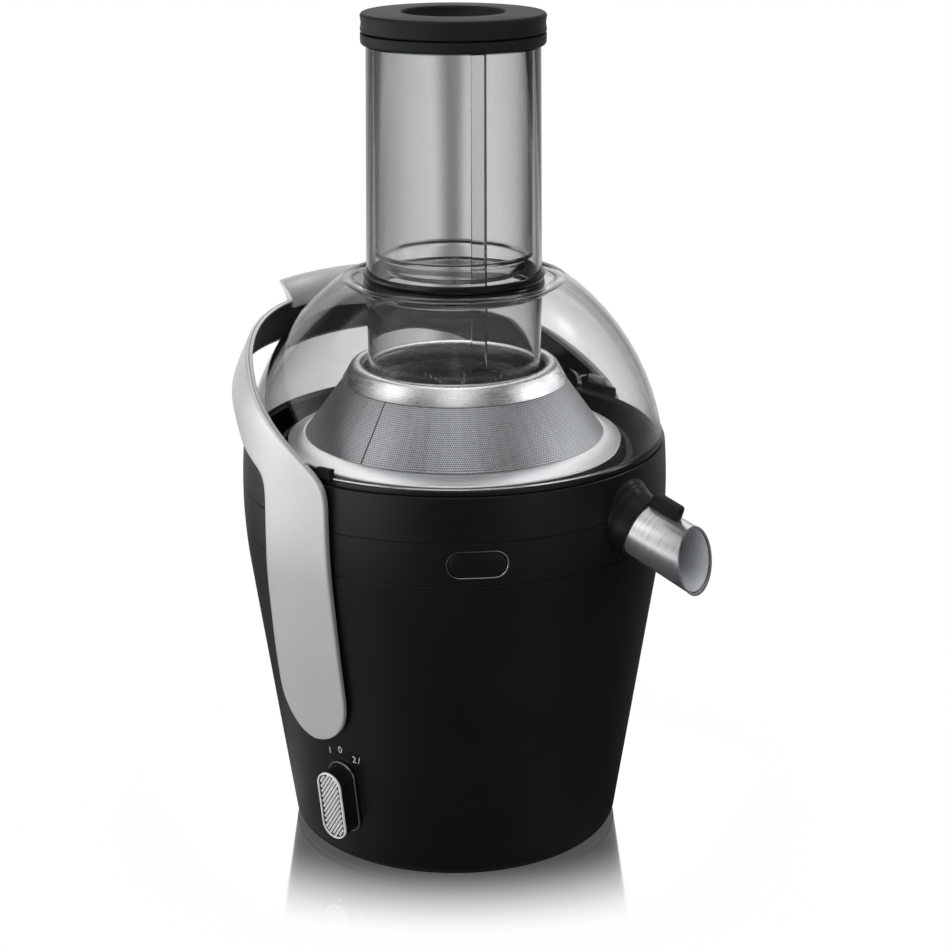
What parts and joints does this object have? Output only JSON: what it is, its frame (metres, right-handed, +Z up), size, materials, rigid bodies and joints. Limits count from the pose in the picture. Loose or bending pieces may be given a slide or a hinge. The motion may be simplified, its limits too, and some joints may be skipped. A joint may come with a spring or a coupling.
{
  "type": "centrifugal juicer",
  "caption": "Centrifugal juicer: tapered motor base, wide feed tube with pusher, clear dome lid over a sieve basket, locking arm, steel juice spout and rotary knob.",
  "frame": {"origin": "centre of the anti-slip ring's underside, on the spindle axis, at the level the machine stands on", "axes": "+Z up along the spindle; -Y towards the side with the knob; +X towards the side with the juice spout; the locking arm passes behind the dome on the -X side"},
  "size_m": [0.2642, 0.2328, 0.43],
  "materials": {
    "body_black": "satin",
    "black_trim": "fine matte",
    "clear_plastic": "polished, smoke tint",
    "silver_paint": "silver paint",
    "steel": "brushed",
    "bright_trim": "polished",
    "knob_face": "fine knurl",
    "rubber": "matte",
    "machine_steel": "turned",
    "lamination": "stacked sheet",
    "copper": "enamelled wire",
    "carbon": "sintered carbon",
    "zinc_sheet": "zinc plated",
    "fan_plastic": "moulded",
    "board": "solder mask",
    "spring_steel": "drawn wire"
  },
  "bodies": {
    "base": {"pulp_container": "body_black", "juice_channel": "body_black", "pulp_bowl": "body_black", "housing_band": "body_black", "motor_housing": "body_black", "base_plate": "black_trim", "spout_collar": "black_trim", "button_bezel": "bright_trim", "upper_bearing": "machine_steel", "lower_bearing": "machine_steel", "stator_core": "lamination", "field_coils": "copper", "upper_bracket": "zinc_sheet", "lower_bracket": "zinc_sheet", "motor_bolts": "machine_steel", "brush_holders": "fan_plastic", "carbon_brushes": "carbon", "vibration_mounts": "rubber", "motor_deck": "fan_plastic", "deck_screws": "machine_steel", "shaft_seal": "rubber", "arm_bushes": "fan_plastic", "safety_switch": "black_trim", "button_spring": "spring_steel", "rotary_switch": "fan_plastic", "control_board": "board", "base_screws": "machine_steel", "anti_slip_ring": "rubber", "cord_gland": "rubber"},
    "arm": {"locking_arm": "silver_paint", "arm_liner": "black_trim", "arm_pivot_pins": "machine_steel", "arm_retainers": "black_trim"},
    "lid": {"lid_dome": "clear_plastic", "feed_tube": "clear_plastic", "tube_collar": "black_trim", "lid_seal": "rubber", "lid_lugs": "black_trim"},
    "pusher": {"pusher_cap": "black_trim", "pusher_ring": "black_trim", "pusher_tube": "clear_plastic", "pusher_foot": "clear_plastic"},
    "spindle": {"sieve_crown": "steel", "sieve_mesh": "steel", "sieve_rim": "steel", "grater_disc": "steel", "sieve_hub": "black_trim", "disc_nut": "black_trim", "drive_coupling": "black_trim", "motor_shaft": "machine_steel", "armature_core": "lamination", "armature_windings": "copper", "commutator": "copper", "cooling_fan": "fan_plastic"},
    "spout": {"spout_tube": "steel", "spout_lever": "black_trim"},
    "button": {"release_button": "body_black"},
    "knob": {"control_knob": "black_trim", "knob_face": "knob_face", "knob_shaft": "machine_steel"}
  },
  "joints": [
    {"name": "arm_hinge", "type": "hinge", "parent": "base", "child": "arm", "pos_m": [0, 0, 0.084], "axis": [0, -1, 0], "range_deg": [0, 38]},
    {"name": "lid_lift", "type": "slide", "parent": "base", "child": "lid", "axis": [0.2419, 0, 0.9703], "range_m": [0, 0.11]},
    {"name": "pusher_slide", "type": "slide", "parent": "lid", "child": "pusher", "axis": [0, 0, 1], "range_m": [0, 0.15]},
    {"name": "spindle_spin", "type": "hinge", "parent": "base", "child": "spindle", "pos_m": [0, 0, 0.1], "axis": [0, 0, 1], "continuous": true},
    {"name": "spout_turn", "type": "hinge", "parent": "base", "child": "spout", "pos_m": [0.10726, 0.0126, 0.1882], "axis": [0.9424, 0.1107, -0.3156], "range_deg": [0, 90]},
    {"name": "button_press", "type": "slide", "parent": "base", "child": "button", "axis": [-0.7683, 0.6401, 0], "range_m": [0, 0.002], "stiffness_N_per_m": 800, "springref_m": -0.003, "deforming": ["button_spring"]},
    {"name": "knob_turn", "type": "hinge", "parent": "base", "child": "knob", "pos_m": [0.01092, -0.09156, 0.0405], "axis": [0.1171, -0.9825, -0.1451], "range_deg": [-21, 17]}
  ]
}
